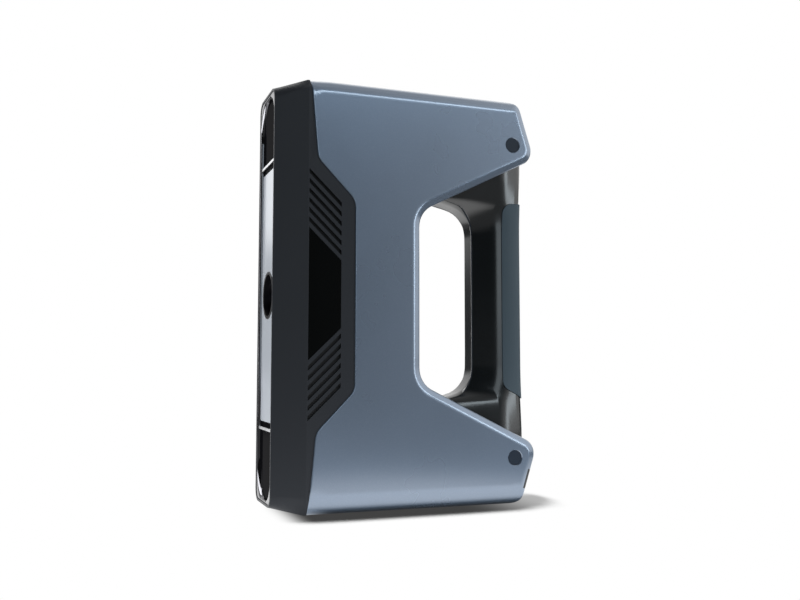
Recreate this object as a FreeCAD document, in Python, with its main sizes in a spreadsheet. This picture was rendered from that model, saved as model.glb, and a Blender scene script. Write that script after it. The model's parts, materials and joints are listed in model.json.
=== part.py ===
# Handheld three-d scanner: a tall black optical housing, two grey side covers whose arms
# reach back round a finger opening, and a black handle with a soft grip between the arms.
# X is the width, the scanning window looks along -Y, and the scanner stands on z = 0.
import FreeCAD, Part
import Sketcher
import os
import re
from FreeCAD import Placement, Rotation, Vector

doc = FreeCAD.newDocument("HandheldScanner")

# Driving dimensions in millimetres and degrees.
# A "drop" is measured down from the top, and holds from the foot upwards as well.
SIZES = {
    # whole scanner
    "height": 310,
    "half_width": 31,
    "front_reach": 102,
    "wall": 2.2,
    "side_wall": 2.8,
    # front face and the taper behind it
    "front_half_width": 26,
    "front_drop": 7,
    "front_rise": 5.5,
    "front_round": 9,
    "crease_setback": 24,
    # long bevels along the top and the foot
    "top_bevel_in": 5,
    "top_bevel_drop": 7,
    "foot_bevel_in": 4.5,
    "foot_bevel_rise": 13,
    # seam between the black housing and the grey covers
    "seam_top_reach": 76.4,
    "seam_bend_reach": 71.1,
    "seam_bend_drop": 57.4,
    "seam_deep_reach": 42.9,
    "seam_deep_drop": 86.4,
    "seam_round": 13,
    "groove_wide": 0.9,
    "groove_deep": 0.8,
    # arms and finger opening of the covers
    "rear_corner_round": 11,
    "rear_tilt": 17.8,
    "tip_reach": 104.6,
    "tip_drop": 43.4,
    "tip_round": 12,
    "opening_front": 7.8,
    "opening_drop": 91.35,
    "opening_round": 18,
    "rim_wide": 5,
    "rim_deep": 2.5,
    "flange_wide": 7,
    # front bezel, windows and fascia
    "lip": 1.7,
    "bezel_wide": 1.5,
    "bezel_set_back": 0.3,
    "window_set_back": 2.4,
    "window_thick": 2,
    "ledge_half_width": 21.5,
    "ledge_drop": 3.5,
    "throat_flare": 20.5,
    "fascia_drop": 63.5,
    "fascia_round": 4,
    "bar_drop": 58.6,
    "bar_thick": 2,
    "bar_proud": 1.3,
    "ring_outer": 17.2,
    "ring_inner": 15.2,
    "ring_deep": 5,
    # vents and side plates
    "vent_front_reach": 77.3,
    "vent_rear_reach": 53.4,
    "vent_drop": 65.6,
    "vent_fall": 23.2,
    "vent_slot": 3.4,
    "vent_pitch": 6.97,
    "vent_count": 6,
    "plate_rear_reach": 53.4,
    "plate_drop": 107.7,
    "plate_fall": 23,
    "plate_recess": 1,
    "screen_inset": 3.2,
    "screen_margin": 3,
    "screen_thick": 1,
    "fit_gap": 0.15,
    # plugs and screws
    "plug_reach": 84.45,
    "plug_drop": 34.75,
    "plug_radius": 5.7,
    "plug_thick": 1.8,
    "plug_set_back": 0.5,
    "seat_deep": 5.2,
    "boss_half": 7,
    "screw_radius": 1.5,
    "screw_head_radius": 2.8,
    "screw_head_high": 2.4,
    "cover_nut_radius": 3.2,
    "cover_nut_thick": 2.2,
    "lug_half": 4,
    "lug_rear": 6.5,
    "lug_end": 8,
    "lug_fall": 7,
    # handle
    "handle_side": 79,
    "handle_back": 97.5,
    "crease_run": 5,
    "grip_seam": 79.8,
    "grip_drop": 79.5,
    "grip_thick": 2.5,
    "grip_proud": 0.6,
    "grip_round": 8,
    "spine_front": 70,
    "spine_rear": 84,
    "spine_bore_drop": 20,
    # button panel and socket panel, both centred on the sloping rear ends
    "panel_drop": 17.9,
    "panel_half_width": 19,
    "panel_half_length": 10.6,
    "panel_thick": 2.2,
    "panel_proud": 0.3,
    "panel_flange": 1,
    "panel_flange_side": 2,
    "post_half": 0.9,
    "post_across": 17.3,
    "post_along": 7.9,
    "post_long": 2.15,
    "scan_radius": 6.5,
    "side_button_radius": 4.2,
    "side_button_place": 12.8,
    "button_row": 1.4,
    "cap_start": 3.35,
    "cap_long": 4.85,
    "collar_thick": 0.75,
    "collar_wide": 0.8,
    "strip_half": 5.9,
    "strip_start": 7.5,
    "strip_wide": 1.4,
    "strip_deep": 3,
    "strip_long": 3.5,
    "key_board_deep": 7,
    "key_board_half_wide": 18.5,
    "key_board_half_high": 9,
    "dome_half": 2.2,
    "dome_high": 0.35,
    "socket_drop": 18,
    "socket_half_width": 30,
    "socket_half_length": 7.4,
    "socket_panel_thick": 2.9,
    "socket_flange_half": 26,
    "socket_flange_reach": 1.5,
    "socket_flange_thick": 1,
    "socket_bore": 4.6,
    "socket_radius": 6.2,
    "socket_deep": 6,
    "socket_proud": 1.1,
    "insert_thick": 3,
    "pin_reach": 2.3,
    "pin_wide": 0.8,
    "pin_deep": 2,
    "pin_count": 6,
    "nut_start": 6.4,
    "nut_thick": 2.4,
    "nut_radius": 8.2,
    # optics
    "camera_drop": 33,
    "camera_tilt": 13,
    "camera_reach": 74,
    "camera_half": 10,
    "camera_long": 14,
    "bracket_reach": 81,
    "bracket_thick": 3,
    "barrel_half": 17.4,
    "lens_thick": 5,
    "module_half_wide": 20,
    "module_half_high": 27,
    "module_long": 31,
    "bracket_half_wide": 27.4,
    "bracket_drop": 18,
    "bracket_round": 6,
    "bracket_hole_height": 92,
    "bracket_hole_half_wide": 17,
    "bracket_hole_half_high": 22,
    "camera_hole_half": 13.5,
    "camera_hole_shift": 1.3,
    "camera_board_half_wide": 17,
    "camera_board_half_high": 13,
    "sensor_half_wide": 6,
    "sensor_half_high": 5,
    "sensor_thick": 1.4,
    "light_drop": 57,
    "light_reach": 90.4,
    "light_half_wide": 19,
    "light_half_high": 4.5,
    "light_pitch": 9,
    "lamp_half": 1.8,
    "lamp_high": 1.4,
    # finned heat sink
    "sink_reach": 47,
    "sink_half_wide": 16,
    "sink_half_high": 22,
    "sink_deep": 18,
    "sink_base": 3,
    "sink_fin": 1.6,
    "sink_gap": 2.4,
    "sink_gap_count": 7,
    # boards
    "board_thick": 1.6,
    "main_board_side": 20,
    "main_board_front": 36,
    "main_board_rear": 2,
    "main_board_low": 104,
    "main_board_high": 206,
    "chip_high": 2,
    "cooler_high": 3,
    "spacer_half": 2,
    "spacer_inset": 3,
    "spacer_rise": 4,
    # fan
    "fan_height": 97,
    "fan_reach": 61.6,
    "fan_half": 14.4,
    "fan_deep": 8,
    "fan_side": 27.4,
    "fan_pin_radius": 1.2,
    "fan_strut_half": 1,
    "fan_strut_thick": 1,
    "fan_motor_radius": 5,
    "fan_motor_thick": 1.4,
    "running_gap": 0.05,
    "blade_reach": 12.6,
    "blade_count": 7,
    "blade_thick": 1.2,
    "blade_sweep": 2.2,
    "blade_margin": 0.4,
    "hub_start": 1.8,
    "hub_long": 5.6,
    "hub_radius": 5.6,
}

sheet = doc.addObject("Spreadsheet::Sheet", "Sizes")
for row, (name, size) in enumerate(SIZES.items(), start=1):
    sheet.set(f"A{row}", name)
    sheet.set(f"B{row}", str(size))
    sheet.setAlias(f"B{row}", name)
doc.recompute()

nodes = {}


# Expressions and sketches

def bound(expression):
    """The expression with every size name pointed at the sheet."""
    def point(match):
        word = match.group(0)
        return "Sizes." + word if word in SIZES else word
    return re.sub(r"[A-Za-z_]\w*", point, str(expression))


def value(expression):
    return float(sheet.evalExpression(bound(expression)))


def up(drop):
    """Height of a place that lies a drop below the top."""
    return f"height - ({drop})"


def new_body(label):
    body = doc.addObject("PartDesign::Body", label)
    body.Label = label
    return body


def add_sketch(body, plane, offset="0"):
    sketch = body.newObject("Sketcher::SketchObject", "Sketch")
    origin_plane = next(f for f in body.Origin.OriginFeatures if f.Role == plane + "_Plane")
    sketch.AttachmentSupport = [(origin_plane, "")]
    sketch.MapMode = "FlatFace"
    sketch.setExpression("AttachmentOffset.Base.z", bound(offset))
    return sketch


def free_sketch(label, plane, offset="0"):
    """A sketch outside any body, on a plane square to X, Y or Z."""
    sketch = doc.addObject("Sketcher::SketchObject", label)
    turns = {
        "XY": (Rotation(), "z", "1"),
        "XZ": (Rotation(Vector(1, 0, 0), 90), "y", "-1"),
        "YZ": (Rotation(Vector(1, 1, 1), 120), "x", "1"),
    }
    turn, axis, sign = turns[plane]
    sketch.Placement = Placement(Vector(), turn)
    sketch.setExpression(f"Placement.Base.{axis}", bound(f"{sign} * ({offset})"))
    return sketch


def fix_point(sketch, item, end, across, along):
    for kind, expression in (("DistanceX", across), ("DistanceY", along)):
        rule = Sketcher.Constraint(kind, -1, 1, item, end, value(expression))
        number = sketch.addConstraint(rule)
        sketch.setExpression(f"Constraints[{number}]", bound(expression))


def fix_radius(sketch, item, radius):
    number = sketch.addConstraint(Sketcher.Constraint("Radius", item, value(radius)))
    sketch.setExpression(f"Constraints[{number}]", bound(radius))


def outline(sketch, corners):
    """A closed outline through corners (across, along) or (across, along, rounding)."""
    first = sketch.GeometryCount
    count = len(corners)
    points = [Vector(value(c[0]), value(c[1]), 0) for c in corners]
    for i in range(count):
        sketch.addGeometry(Part.LineSegment(points[i], points[(i + 1) % count]))
    for i in range(count):
        after = first + (i + 1) % count
        sketch.addConstraint(Sketcher.Constraint("Coincident", first + i, 2, after, 1))
    for i, corner in enumerate(corners):
        fix_point(sketch, first + i, 1, corner[0], corner[1])
    for i, corner in enumerate(corners):
        if len(corner) == 3:
            sketch.fillet(first + i, 1, value(corner[2]), True, True)
            fix_radius(sketch, sketch.GeometryCount - 2, corner[2])


def circle(sketch, across, along, radius):
    centre = Vector(value(across), value(along), 0)
    item = sketch.addGeometry(Part.Circle(centre, Vector(0, 0, 1), value(radius)))
    fix_point(sketch, item, 3, across, along)
    fix_radius(sketch, item, radius)


def box_corners(left, right, low, high, rounding=None):
    corners = [(left, low), (right, low), (right, high), (left, high)]
    if rounding is not None:
        corners = [corner + (rounding,) for corner in corners]
    return corners


def ring_corners(across, along, radius, sides):
    """An even polygon about a place."""
    return [(f"{across} + ({radius}) * cos({360 * i / sides})",
             f"{along} + ({radius}) * sin({360 * i / sides})") for i in range(sides)]


def hexagon_corners(across, along, radius):
    return ring_corners(across, along, radius, 6)


# Features of a body

def pad(body, sketch, length, both=False, reverse=False):
    feature = body.newObject("PartDesign::Pad", "Pad")
    feature.Profile = sketch
    feature.setExpression("Length", bound(length))
    feature.Reversed = reverse
    if both:
        feature.SideType = "Symmetric"
    doc.recompute()
    return feature


def pocket(body, sketch, length=None, both=False, reverse=False):
    before = body.Shape.Volume
    feature = body.newObject("PartDesign::Pocket", "Pocket")
    feature.Profile = sketch
    feature.Reversed = reverse
    if length is None:
        feature.Type = "ThroughAll"
    else:
        feature.setExpression("Length", bound(length))
    if both:
        feature.SideType = "Symmetric"
    doc.recompute()
    if body.Shape.Volume >= before:
        raise ValueError(f"a pocket of {body.Label} cuts nothing")
    return feature


def revolve(body, sketch):
    feature = body.newObject("PartDesign::Revolution", "Turned")
    feature.Profile = sketch
    feature.ReferenceAxis = (sketch, ["V_Axis"])
    feature.Angle = 360
    doc.recompute()
    return feature


def row_of(body, feature, axis, count, length):
    """Repeats a feature in a straight row along a plane's normal or sketch axis."""
    pattern = body.newObject("PartDesign::LinearPattern", "Row")
    pattern.Originals = [feature]
    pattern.Direction = axis
    pattern.setExpression("Occurrences", bound(count))
    pattern.setExpression("Length", bound(length))
    body.Tip = pattern
    doc.recompute()
    return pattern


def ring_of(body, feature, axis, count):
    pattern = body.newObject("PartDesign::PolarPattern", "Ring")
    pattern.Originals = [feature]
    pattern.Axis = axis
    pattern.Angle = 360
    pattern.setExpression("Occurrences", bound(count))
    body.Tip = pattern
    doc.recompute()
    return pattern


def loft(body, kind, first, last, ruled=True):
    feature = body.newObject("PartDesign::" + kind, "Loft")
    feature.Profile = first
    feature.Sections = [last]
    feature.Ruled = ruled
    doc.recompute()
    return feature


# Features that join whole shapes

def extrude(label, profile, direction, length, back="0"):
    solid = doc.addObject("Part::Extrusion", label)
    solid.Base = profile
    solid.DirMode = "Custom"
    solid.Dir = direction
    solid.Solid = True
    solid.setExpression("LengthFwd", bound(length))
    solid.setExpression("LengthRev", bound(back))
    return solid


def boolean(kind, label, base, tool):
    result = doc.addObject("Part::" + kind, label)
    result.Label = label
    result.Base = base
    result.Tool = tool
    doc.recompute()
    return result


def common(label, base, tool):
    return boolean("Common", label, base, tool)


def cut(label, base, tool):
    return boolean("Cut", label, base, tool)


def fuse(label, base, tool):
    return boolean("Fuse", label, base, tool)


def mirrored(label, source):
    twin = doc.addObject("Part::Mirroring", label)
    twin.Label = label
    twin.Source = source
    twin.Normal = Vector(1, 0, 0)
    doc.recompute()
    return twin


def block(label, ranges):
    """A box over three ranges, each a pair of expressions."""
    solid = doc.addObject("Part::Box", label)
    for axis, side, (low, high) in zip("xyz", ("Length", "Width", "Height"), ranges):
        solid.setExpression("Placement.Base." + axis, bound(low))
        solid.setExpression(side, bound(f"({high}) - ({low})"))
    doc.recompute()
    return solid


def rod(label, radius, across, along, height, length):
    """A cylinder along X that starts at the given place."""
    solid = doc.addObject("Part::Cylinder", label)
    solid.setExpression("Radius", bound(radius))
    solid.setExpression("Height", bound(length))
    solid.Placement.Rotation = Rotation(Vector(0, 1, 0), 90)
    for axis, place in zip("xyz", (across, along, height)):
        solid.setExpression("Placement.Base." + axis, bound(place))
    doc.recompute()
    return solid


def keep(label, solid):
    solid.Label = label
    nodes[label] = solid
    return solid


# Shared places

def rear_reach(drop):
    """How far back the sloping rear end lies at a drop."""
    return f"tip_reach - (tip_drop - ({drop})) * tan(rear_tilt)"


def both_ends(corners):
    """The corners below the top and, in reverse order, their twins above the foot."""
    tops = [(c[0], up(c[1])) + tuple(c[2:]) for c in corners]
    feet = [(c[0], c[1]) + tuple(c[2:]) for c in reversed(corners)]
    return tops + feet


def band_corners(inset, side_inset):
    """The scanner's cross section: a tall box with its long edges bevelled."""
    side = f"half_width - {side_inset}"
    top = f"height - {inset}"
    reach = f"({inset}) * 0.5"
    right = [
        (f"half_width - foot_bevel_in - {reach}", inset),
        (side, f"foot_bevel_rise + {reach}"),
        (side, f"height - top_bevel_drop - {reach}"),
        (f"half_width - top_bevel_in - {reach}", top),
    ]
    left = [(f"-({across})", along) for across, along in reversed(right)]
    return right + left


def front_corners(inset):
    """The front face's upright outline, with round corners, moved in by an inset."""
    side = f"front_half_width - ({inset})"
    return box_corners(f"-({side})", side, f"front_rise + {inset}", up(f"front_drop + {inset}"),
                       f"front_round - ({inset})")


def throat_corners():
    """The housing's opening behind the windows: a tall box with cut corners."""
    low = "front_drop + ledge_drop"
    cut_in = "front_round"
    right = [
        (f"ledge_half_width - ({cut_in})", low),
        ("ledge_half_width", f"{low} + {cut_in}"),
        ("ledge_half_width", up(f"{low} + {cut_in}")),
        (f"ledge_half_width - ({cut_in})", up(low)),
    ]
    left = [(f"-({across})", along) for across, along in reversed(right)]
    return right + left


def seat(body, across, reach, height, turn):
    """Places a body turned about X, so that its own Z points out of the face that carries it."""
    body.Placement.Rotation = Rotation(Vector(1, 0, 0), 90)
    body.setExpression("Placement.Rotation.Angle", bound(turn))
    for axis, place in zip("xyz", (across, reach, height)):
        body.setExpression("Placement.Base." + axis, bound(place))
    return body


def on_button_panel(body, across="0"):
    return seat(body, across, rear_reach("panel_drop"), up("panel_drop"), "rear_tilt - 90")


def on_socket_panel(body):
    return seat(body, "0", rear_reach("socket_drop"), "socket_drop", "-90 - rear_tilt")


# Black front housing

def seam_corners():
    return both_ends([
        ("-seam_top_reach", "0"),
        ("-seam_bend_reach", "seam_bend_drop", "seam_round"),
        ("-seam_deep_reach", "seam_deep_drop", "seam_round"),
    ])


SEAM_SLOPE = "(seam_deep_drop - seam_bend_drop) / (seam_bend_reach - seam_deep_reach)"


def screen_drop(reach):
    """Drop, at a reach, of the dust screen's edge beside the seam's slanting stretch."""
    return f"seam_bend_drop + screen_inset + (seam_bend_reach - ({reach})) * {SEAM_SLOPE}"


def screen_reach(drop):
    """Reach of the same edge at a drop."""
    return f"seam_bend_reach - (({drop}) - seam_bend_drop - screen_inset) / ({SEAM_SLOPE})"


def front_housing():
    body = new_body("front_housing")
    crease = "front_reach - crease_setback"
    face = add_sketch(body, "XZ", "front_reach")
    outline(face, front_corners("0"))
    band = add_sketch(body, "XZ", crease)
    outline(band, band_corners("0", "0"))
    loft(body, "AdditiveLoft", face, band)

    rear = add_sketch(body, "XZ", crease)
    outline(rear, band_corners("0", "0"))
    pad(body, rear, f"{crease} - seam_deep_reach", reverse=True)

    behind = add_sketch(body, "YZ")
    edge = seam_corners()
    outline(behind, [("0", "height + 1"), ("-seam_top_reach", "height + 1")] + edge
            + [("-seam_top_reach", "-1"), ("0", "-1")])
    pocket(body, behind, both=True)

    recess = add_sketch(body, "XZ", "front_reach")
    outline(recess, front_corners("lip"))
    pocket(body, recess, "window_set_back + window_thick")

    ledge = "front_reach - window_set_back - window_thick"
    neck = add_sketch(body, "XZ", ledge)
    outline(neck, throat_corners())
    throat = pocket(body, neck, f"{ledge} - ({crease})")
    throat.setExpression("TaperAngle", bound("throat_flare"))
    doc.recompute()

    hollow = add_sketch(body, "XZ", crease)
    outline(hollow, band_corners("wall", "wall"))
    pocket(body, hollow)
    cut_vents(body)
    for side in (1, -1):
        cut_side(body, side, plate_corners("0"), "plate_recess")
        cut_side(body, side, groove_corners(), "groove_deep")
    return keep("front_housing", body)


def cut_side(body, side, corners, depth):
    """A shallow recess in one side face."""
    sketch = add_sketch(body, "YZ", f"{side} * (half_width - {depth})")
    outline(sketch, corners)
    pocket(body, sketch, f"{depth} + 1", reverse=side > 0)


def groove_corners():
    edge = seam_corners()
    ahead = [(f"{c[0]} - groove_wide",) + tuple(c[1:]) for c in reversed(edge)]
    return edge + ahead


def plate_corners(gap):
    return both_ends([
        (f"-vent_front_reach + {gap}", f"plate_drop + {gap} * 2"),
        (f"-plate_rear_reach - {gap}", f"plate_drop + plate_fall + {gap}"),
    ])


def cut_vents(body):
    """Six slanting slots at each end of the vented side faces, right through both sides."""
    for end in (1, -1):
        sketch = add_sketch(body, "YZ")
        edges = [
            ("-vent_front_reach", "vent_drop"),
            ("-vent_rear_reach", "vent_drop + vent_fall"),
            ("-vent_rear_reach", "vent_drop + vent_fall + vent_slot"),
            ("-vent_front_reach", "vent_drop + vent_slot"),
        ]
        if end > 0:
            edges = [(across, up(drop)) for across, drop in edges]
        outline(sketch, edges)
        slot = pocket(body, sketch, both=True)
        row = row_of(body, slot, (sketch, ["V_Axis"]), "vent_count", "vent_pitch * (vent_count - 1)")
        row.Reversed = end > 0
        doc.recompute()


# Grey side covers

def cover_corners():
    return [
        (rear_reach("0"), up("0"), "rear_corner_round"),
        ("tip_reach", up("tip_drop"), "tip_round"),
        ("opening_front", up("opening_drop"), "opening_round"),
        ("opening_front", "opening_drop", "opening_round"),
        ("tip_reach", "tip_drop", "tip_round"),
        (rear_reach("0"), "0", "rear_corner_round"),
    ] + list(reversed(seam_corners()))


def rim_edges(shape):
    """Names of the side face's edges, apart from those along the seam."""
    side = value("half_width")
    seam = -value("seam_deep_reach") + 0.5
    names = []
    for number, edge in enumerate(shape.Edges, start=1):
        middle = edge.CenterOfMass
        if abs(middle.x - side) < 0.01 and middle.y > seam:
            names.append(f"Edge{number}")
    return names


def cover_outside():
    body = new_body("cover_outside")
    sketch = add_sketch(body, "YZ")
    outline(sketch, cover_corners())
    slab = pad(body, sketch, "half_width")
    rim = body.newObject("PartDesign::Chamfer", "Rim")
    rim.Base = (slab, rim_edges(slab.Shape))
    rim.ChamferType = "Two distances"
    rim.setExpression("Size", bound("rim_deep"))
    rim.setExpression("Size2", bound("rim_wide"))
    doc.recompute()
    bevels = add_sketch(body, "XZ")
    outline(bevels, [
        ("half_width - top_bevel_in", "height"),
        ("half_width", "height - top_bevel_drop"),
        ("half_width + 1", "height + 1"),
    ])
    outline(bevels, [
        ("half_width - foot_bevel_in", "0"),
        ("half_width", "foot_bevel_rise"),
        ("half_width + 1", "-1"),
    ])
    pocket(body, bevels, both=True)
    return body


def cover_inside():
    """The hollow of a cover, one wall inside the outline and the bevels."""
    sketch = free_sketch("cover_inner_outline", "YZ")
    outline(sketch, cover_corners())
    inner = doc.addObject("Part::Offset2D", "cover_inner_offset")
    inner.Source = sketch
    inner.setExpression("Value", bound("-wall"))
    inner.Join = 2
    doc.recompute()
    prism = extrude("cover_inner_prism", inner, Vector(1, 0, 0), "half_width", "1")
    band = free_sketch("cover_inner_band", "XZ", "front_reach")
    outline(band, band_corners("wall", "side_wall"))
    tube = extrude("cover_inner_tube", band, Vector(0, 1, 0), "2 * front_reach")
    return common("cover_inside", prism, tube)


def place_holes(shell):
    """Bosses, screw holes and plug seats where the covers clamp the handle's spine."""
    for height in (up("plug_drop"), "plug_drop"):
        boss = block("boss", (
            ("lug_half", "half_width - side_wall + 0.5"),
            ("plug_reach - boss_half", "plug_reach + boss_half"),
            (f"{height} - boss_half", f"{height} + boss_half")))
        shell = fuse("bossed", shell, boss)
    for height in (up("plug_drop"), "plug_drop"):
        hole = free_sketch("screw_hole", "YZ")
        outline(hole, hexagon_corners("plug_reach", height, "screw_radius + 0.4"))
        drill = extrude("screw_drill", hole, Vector(1, 0, 0), "half_width")
        shell = cut("drilled", shell, drill)
        plug_seat = rod("plug_seat", "plug_radius", "half_width - seat_deep", "plug_reach", height,
                        "seat_deep + 1")
        shell = cut("seated", shell, plug_seat)
    return shell


def side_covers():
    shell = cut("cover_tray", cover_outside(), cover_inside())
    shell = place_holes(shell)
    passage = block("flange_passage", (
        ("-1", "half_width - flange_wide"),
        ("-seam_deep_reach - 1", "-seam_deep_reach + wall + 1"),
        ("seam_deep_drop + flange_wide", up("seam_deep_drop + flange_wide"))))
    shell = cut("cover_open_front", shell, passage)
    for height in ("camera_drop", up("camera_drop")):
        passage = block("camera_passage", (
            ("-1", "half_width - flange_wide - 4"),
            ("-seam_top_reach - 1", "-seam_bend_reach + wall + 1"),
            (f"{height} - 16", f"{height} + 16")))
        shell = cut("cover_open_end", shell, passage)
    spine_slot = block("spine_slot", (
        ("-1", "lug_half + 0.1"),
        ("spine_front - 0.1", "spine_rear + 0.1"),
        ("plug_drop + boss_half", up("plug_drop + boss_half"))))
    shell = cut("cover_with_slot", shell, spine_slot)
    for label, seat_tool, half_width, half_length in (
            ("button", on_button_panel, "panel_half_width", "panel_half_length"),
            ("socket", on_socket_panel, "socket_half_width", "socket_half_length")):
        tool = new_body(label + "_window")
        seat_tool(tool)
        sketch = add_sketch(tool, "XY", "-3")
        outline(sketch, box_corners("-1", f"{half_width} + 0.05", f"-{half_length} - 0.05",
                                    f"{half_length} + 0.05"))
        pad(tool, sketch, "8")
        shell = cut("cover_" + label, shell, tool)
    keep("side_cover_right", shell)
    keep("side_cover_left", mirrored("side_cover_left", shell))


# Bezel, windows and fascia on the front

def front_bezel():
    body = new_body("front_bezel")
    sketch = add_sketch(body, "XZ", "front_reach - window_set_back")
    outline(sketch, front_corners("lip + 0.05"))
    pad(body, sketch, "window_set_back - bezel_set_back")
    opening = add_sketch(body, "XZ", "front_reach - bezel_set_back")
    outline(opening, front_corners("lip + bezel_wide"))
    pocket(body, opening)
    return keep("front_bezel", body)


def window_corners(end):
    """A camera window's outline, round at the end of the scanner."""
    side = "front_half_width - lip - 0.1"
    rounding = "front_round - lip - 0.1"
    edge = "front_drop" if end == "upper" else "front_rise"
    outer = f"{edge} + lip + 0.1"
    inner = "fascia_drop - 0.1"
    corners = [(side, inner), (side, outer, rounding), (f"-({side})", outer, rounding),
               (f"-({side})", inner)]
    if end == "upper":
        corners = [(corner[0], up(corner[1])) + tuple(corner[2:]) for corner in corners]
    return corners


def front_plates():
    plane = "front_reach - window_set_back - window_thick"
    for end in ("upper", "lower"):
        body = new_body("camera_window_" + end)
        sketch = add_sketch(body, "XZ", plane)
        outline(sketch, window_corners(end))
        pad(body, sketch, "window_thick")
        keep("camera_window_" + end, body)

        bar = new_body("window_bar_" + end)
        middle = up("bar_drop") if end == "upper" else "bar_drop"
        bar_plan = add_sketch(bar, "XZ", "front_reach - window_set_back")
        half = "front_half_width - lip - bezel_wide - 0.1"
        outline(bar_plan, box_corners(f"-({half})", half, f"{middle} - bar_thick / 2",
                                      f"{middle} + bar_thick / 2"))
        pad(bar, bar_plan, "bar_proud")
        keep("window_bar_" + end, bar)

    fascia = new_body("projector_fascia")
    sketch = add_sketch(fascia, "XZ", plane)
    side = "front_half_width - lip - 0.1"
    outline(sketch, box_corners(f"-({side})", side, "fascia_drop", up("fascia_drop"), "fascia_round"))
    circle(sketch, "0", "height / 2", "ring_outer + 0.1")
    pad(fascia, sketch, "window_thick")
    keep("projector_fascia", fascia)


def turned(label, corners, place):
    """A piece turned about its own Z, from (radius, height) corners."""
    body = new_body(label)
    sketch = add_sketch(body, "XZ")
    outline(sketch, corners)
    revolve(body, sketch)
    place(body)
    return keep(label, body)


def facing_front(reach, height):
    """A placement whose own Z looks along -Y."""
    return lambda body: seat(body, "0", reach, height, "90")


def projector():
    centre = "height / 2"
    front = "front_reach - window_set_back"
    place = facing_front(f"-({front})", centre)
    turned("lens_ring", [
        ("ring_inner", "-ring_deep"), ("ring_outer", "-ring_deep"), ("ring_outer", "0.5"),
        ("ring_inner", "0.5"),
    ], place)
    turned("projector_lens", [
        ("0", "-ring_deep - lens_thick"), ("ring_inner - 1", "-ring_deep - lens_thick"),
        ("ring_inner - 1", "-ring_deep"), ("0", "-ring_deep"),
    ], place)
    barrel = new_body("projector_barrel")
    back = f"{front} - bracket_reach + bracket_thick - 0.1"
    sketch = add_sketch(barrel, "XY", f"-({back})")
    outline(sketch, box_corners("-barrel_half", "barrel_half", "-barrel_half", "barrel_half"))
    outline(sketch, ring_corners("0", "0", "ring_inner - 0.65", 20))
    pad(barrel, sketch, f"{back} - ring_deep - 0.05")
    place(barrel)
    keep("projector_barrel", barrel)
    module = new_body("projector_module")
    sketch = add_sketch(module, "XZ", "bracket_reach - bracket_thick")
    outline(sketch, box_corners("-module_half_wide", "module_half_wide",
                                f"{centre} - module_half_high", f"{centre} + module_half_high"))
    pad(module, sketch, "module_long", reverse=True)
    keep("projector_module", module)
    heat_sink("projector_heat_sink", centre)


def heat_sink(label, centre):
    """A finned block on the back of the projector module."""
    body = new_body(label)
    sketch = add_sketch(body, "XZ", "sink_reach")
    outline(sketch, box_corners("-sink_half_wide", "sink_half_wide",
                                f"{centre} - sink_half_high", f"{centre} + sink_half_high"))
    pad(body, sketch, "sink_deep", reverse=True)
    gap = add_sketch(body, "XZ", "sink_reach - sink_base")
    first = "-sink_half_wide + sink_fin"
    outline(gap, box_corners(first, f"{first} + sink_gap", f"{centre} - sink_half_high - 1",
                             f"{centre} + sink_half_high + 1"))
    slot = pocket(body, gap)
    row_of(body, slot, (gap, ["H_Axis"]), "sink_gap_count",
           "(sink_gap_count - 1) * (sink_gap + sink_fin)")
    return keep(label, body)


def optics_bracket():
    body = new_body("optics_bracket")
    sketch = add_sketch(body, "XZ", "bracket_reach - bracket_thick")
    outline(sketch, box_corners("-bracket_half_wide", "bracket_half_wide", "bracket_drop",
                                up("bracket_drop"), "bracket_round"))
    outline(sketch, box_corners("-barrel_half - 0.1", "barrel_half + 0.1",
                                "height / 2 - barrel_half - 0.1", "height / 2 + barrel_half + 0.1"))
    camera_hole = "camera_drop + camera_hole_shift"
    for height in (camera_hole, up(camera_hole)):
        outline(sketch, box_corners("-camera_hole_half", "camera_hole_half",
                                    f"{height} - camera_hole_half", f"{height} + camera_hole_half"))
    for height in ("bracket_hole_height", up("bracket_hole_height")):
        outline(sketch, box_corners("-bracket_hole_half_wide", "bracket_hole_half_wide",
                                    f"{height} - bracket_hole_half_high",
                                    f"{height} + bracket_hole_half_high"))
    pad(body, sketch, "bracket_thick")
    return keep("optics_bracket", body)


# Cameras behind the dark windows

def camera(end):
    if end == "upper":
        height = up("camera_drop")
        turn = "90 + camera_tilt"
    else:
        height = "camera_drop"
        turn = "90 - camera_tilt"

    def place(body):
        return seat(body, "0", "-camera_reach", height, turn)

    body = new_body("camera_body_" + end)
    sketch = add_sketch(body, "XY", "sensor_thick + 0.1")
    outline(sketch, box_corners("-camera_half", "camera_half", "-camera_half", "camera_half"))
    pad(body, sketch, "camera_long - sensor_thick - 0.1")
    place(body)
    keep("camera_body_" + end, body)
    lens = new_body("camera_lens_" + end)
    sketch = add_sketch(lens, "XY", "camera_long + 0.02")
    outline(sketch, ring_corners("0", "0", "camera_half - 2", 20))
    pad(lens, sketch, "lens_thick + 1")
    place(lens)
    keep("camera_lens_" + end, lens)
    board = new_body("camera_board_" + end)
    sketch = add_sketch(board, "XY", "-board_thick")
    outline(sketch, box_corners("-camera_board_half_wide", "camera_board_half_wide",
                                "-camera_board_half_high", "camera_board_half_high"))
    pad(board, sketch, "board_thick")
    sensor = add_sketch(board, "XY")
    outline(sensor, box_corners("-sensor_half_wide", "sensor_half_wide", "-sensor_half_high",
                                "sensor_half_high"))
    pad(board, sensor, "sensor_thick")
    place(board)
    keep("camera_board_" + end, board)


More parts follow.
